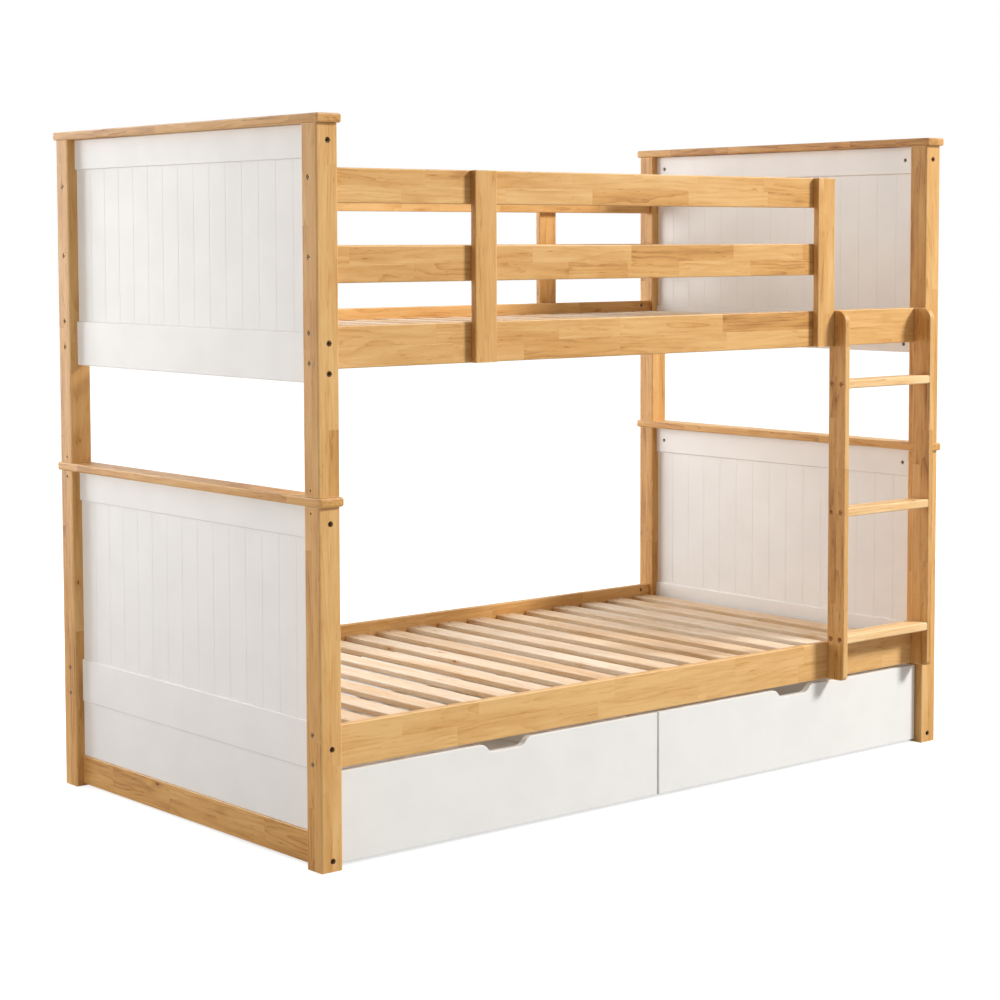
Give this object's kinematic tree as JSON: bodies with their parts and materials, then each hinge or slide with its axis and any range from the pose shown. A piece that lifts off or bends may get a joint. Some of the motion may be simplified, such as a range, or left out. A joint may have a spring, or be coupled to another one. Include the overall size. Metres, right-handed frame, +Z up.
{
  "type": "bunk bed with drawers",
  "caption": "Wooden bunk bed with beadboard end panels, slatted decks, guard rails, a bolted side ladder and wide drawers that roll out from under the lower bunk.",
  "frame": {"origin": "bottom centre of the whole object's box, on the floor", "axes": "+X along the bed, towards the end with the ladder; -Y is the front, with the ladder and the drawer fronts; +Z up"},
  "size_m": [2.028, 1.1382, 1.6109],
  "materials": {
    "natural_wood": "finger-jointed hardwood, clear satin lacquer",
    "white_paint": "white satin paint",
    "slat_wood": "planed, unlacquered",
    "box_board": "board faced in plain off-white",
    "wheel_plastic": "matt black nylon"
  },
  "bodies": {
    "bed": {"lower_post_front_left": "natural_wood", "lower_post_front_right": "natural_wood", "lower_post_rear_left": "natural_wood", "lower_post_rear_right": "natural_wood", "stretcher_left": "natural_wood", "skirt_left": "white_paint", "lower_end_panel_left": "white_paint", "lower_end_top_rail_left": "white_paint", "stretcher_right": "natural_wood", "skirt_right": "white_paint", "lower_end_panel_right": "white_paint", "lower_end_top_rail_right": "white_paint", "lower_side_rail_front": "natural_wood", "lower_side_rail_rear": "natural_wood", "lower_slat_deck": "slat_wood", "middle_cap_left": "natural_wood", "middle_cap_right": "natural_wood", "upper_post_front_left": "natural_wood", "upper_post_front_right": "natural_wood", "upper_post_rear_left": "natural_wood", "upper_post_rear_right": "natural_wood", "upper_end_panel_left": "white_paint", "upper_end_top_rail_left": "white_paint", "upper_end_panel_right": "white_paint", "upper_end_top_rail_right": "white_paint", "top_cap_left": "natural_wood", "top_cap_right": "natural_wood", "upper_side_rail_front": "natural_wood", "upper_side_rail_rear": "natural_wood", "upper_slat_deck": "slat_wood", "front_guard_middle_rail": "natural_wood", "front_guard_top_rail": "natural_wood", "front_guard_stile_left": "natural_wood", "front_guard_stile_right": "natural_wood", "rear_guard_middle_rail": "natural_wood", "rear_guard_top_rail": "natural_wood", "rear_guard_stile": "natural_wood", "ladder_upright_left": "natural_wood", "ladder_upright_right": "natural_wood", "ladder_rung_1": "natural_wood", "ladder_rung_2": "natural_wood", "ladder_rung_3": "natural_wood"},
    "drawer_left": {"drawer_front_left": "white_paint", "drawer_side_a_left": "box_board", "drawer_side_b_left": "box_board", "drawer_back_left": "box_board", "drawer_bottom_left": "box_board"},
    "drawer_right": {"drawer_front_right": "white_paint", "drawer_side_a_right": "box_board", "drawer_side_b_right": "box_board", "drawer_back_right": "box_board", "drawer_bottom_right": "box_board"},
    "wheel_left_front_left": {"wheel_left_front_left": "wheel_plastic"},
    "wheel_left_front_right": {"wheel_left_front_right": "wheel_plastic"},
    "wheel_left_rear_left": {"wheel_left_rear_left": "wheel_plastic"},
    "wheel_left_rear_right": {"wheel_left_rear_right": "wheel_plastic"},
    "wheel_right_front_left": {"wheel_right_front_left": "wheel_plastic"},
    "wheel_right_front_right": {"wheel_right_front_right": "wheel_plastic"},
    "wheel_right_rear_left": {"wheel_right_rear_left": "wheel_plastic"},
    "wheel_right_rear_right": {"wheel_right_rear_right": "wheel_plastic"}
  },
  "joints": [
    {"name": "drawer_left_roll_out", "type": "slide", "parent": "bed", "child": "drawer_left", "axis": [0, -1, 0], "range_m": [0, 0.62]},
    {"name": "drawer_right_roll_out", "type": "slide", "parent": "bed", "child": "drawer_right", "axis": [0, -1, 0], "range_m": [0, 0.62]},
    {"name": "wheel_left_front_left_spin", "type": "hinge", "parent": "drawer_left", "child": "wheel_left_front_left", "pos_m": [-0.864, -0.43255, 0.0183], "axis": [1, 0, 0], "continuous": true},
    {"name": "wheel_left_front_right_spin", "type": "hinge", "parent": "drawer_left", "child": "wheel_left_front_right", "pos_m": [-0.091, -0.43255, 0.0183], "axis": [1, 0, 0], "continuous": true},
    {"name": "wheel_left_rear_left_spin", "type": "hinge", "parent": "drawer_left", "child": "wheel_left_rear_left", "pos_m": [-0.864, 0.14345, 0.0183], "axis": [1, 0, 0], "continuous": true},
    {"name": "wheel_left_rear_right_spin", "type": "hinge", "parent": "drawer_left", "child": "wheel_left_rear_right", "pos_m": [-0.091, 0.14345, 0.0183], "axis": [1, 0, 0], "continuous": true},
    {"name": "wheel_right_front_left_spin", "type": "hinge", "parent": "drawer_right", "child": "wheel_right_front_left", "pos_m": [0.091, -0.43255, 0.0183], "axis": [1, 0, 0], "continuous": true},
    {"name": "wheel_right_front_right_spin", "type": "hinge", "parent": "drawer_right", "child": "wheel_right_front_right", "pos_m": [0.864, -0.43255, 0.0183], "axis": [1, 0, 0], "continuous": true},
    {"name": "wheel_right_rear_left_spin", "type": "hinge", "parent": "drawer_right", "child": "wheel_right_rear_left", "pos_m": [0.091, 0.14345, 0.0183], "axis": [1, 0, 0], "continuous": true},
    {"name": "wheel_right_rear_right_spin", "type": "hinge", "parent": "drawer_right", "child": "wheel_right_rear_right", "pos_m": [0.864, 0.14345, 0.0183], "axis": [1, 0, 0], "continuous": true}
  ],
  "couplings": [
    {"joint": "wheel_left_front_left_spin", "follows": "drawer_left_roll_out", "rad_per_m": 55.556},
    {"joint": "wheel_left_front_right_spin", "follows": "drawer_left_roll_out", "rad_per_m": 55.556},
    {"joint": "wheel_left_rear_left_spin", "follows": "drawer_left_roll_out", "rad_per_m": 55.556},
    {"joint": "wheel_left_rear_right_spin", "follows": "drawer_left_roll_out", "rad_per_m": 55.556},
    {"joint": "wheel_right_front_left_spin", "follows": "drawer_right_roll_out", "rad_per_m": 55.556},
    {"joint": "wheel_right_front_right_spin", "follows": "drawer_right_roll_out", "rad_per_m": 55.556},
    {"joint": "wheel_right_rear_left_spin", "follows": "drawer_right_roll_out", "rad_per_m": 55.556},
    {"joint": "wheel_right_rear_right_spin", "follows": "drawer_right_roll_out", "rad_per_m": 55.556}
  ]
}
